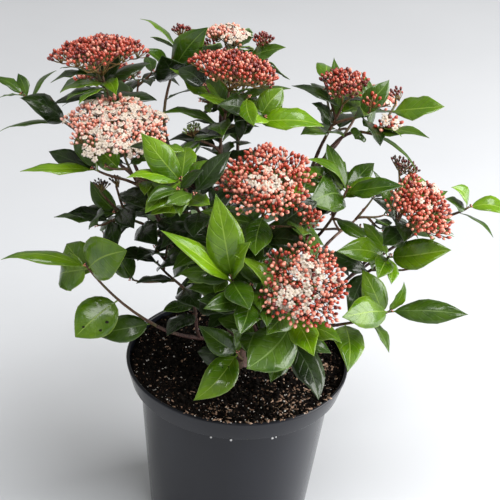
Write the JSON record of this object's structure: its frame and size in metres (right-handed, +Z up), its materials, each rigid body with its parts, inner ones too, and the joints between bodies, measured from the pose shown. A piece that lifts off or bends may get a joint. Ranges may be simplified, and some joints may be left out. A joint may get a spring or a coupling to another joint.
{
  "type": "potted laurustinus",
  "caption": "Evergreen garden shrub with opposite leaves and flat-domed heads of red buds and white flowers, in a round tapered nursery pot filled with compost.",
  "frame": {"origin": "middle of the pot's flat underside, where the pot stands", "axes": "+Z is up; -Y is the front, towards the lowest flower head; +X is the plant's right as seen from the front"},
  "size_m": [0.494, 0.361, 0.516],
  "materials": {
    "charcoal_plastic": "satin",
    "compost": "matte",
    "bark": "matte",
    "leafage": "satin"
  },
  "bodies": {
    "root": {"pot": "charcoal_plastic", "compost": "compost", "stem_foot": "bark", "top_bough": "bark", "left_white_bough": "bark", "upper_right_bough": "bark", "centre_bough": "bark", "back_bough": "bark", "low_left_bough": "bark", "right_mid_bough": "bark", "front_bough": "bark", "back_low_left_bough": "bark", "low_centre_bough": "bark", "back_low_right_bough": "bark", "upper_left_bough": "bark", "far_left_bough": "bark", "left_mid_bough": "bark", "left_inner_bough": "bark", "middle_left_bough": "bark", "centre_left_bough": "bark", "top_back_left_bough": "bark", "top_back_bough": "bark", "upper_right_out_bough": "bark", "right_inner_bough": "bark", "right_head_bough": "bark", "far_right_bough": "bark", "low_right_bough": "bark", "front_centre_bough": "bark", "back_left_bough": "bark", "back_right_bough": "bark", "top_foliage": "leafage", "left_white_foliage": "leafage", "upper_right_foliage": "leafage", "centre_foliage": "leafage", "back_foliage": "leafage", "low_left_foliage": "leafage", "right_mid_foliage": "leafage", "front_foliage": "leafage", "back_low_left_foliage": "leafage", "low_centre_foliage": "leafage", "back_low_right_foliage": "leafage", "upper_left_foliage": "leafage", "far_left_foliage": "leafage", "left_mid_foliage": "leafage", "left_inner_foliage": "leafage", "middle_left_foliage": "leafage", "centre_left_foliage": "leafage", "top_back_left_foliage": "leafage", "top_back_foliage": "leafage", "upper_right_out_foliage": "leafage", "right_inner_foliage": "leafage", "right_head_foliage": "leafage", "far_right_foliage": "leafage", "low_right_foliage": "leafage", "front_centre_foliage": "leafage", "back_left_foliage": "leafage", "back_right_foliage": "leafage"}
  },
  "joints": []
}
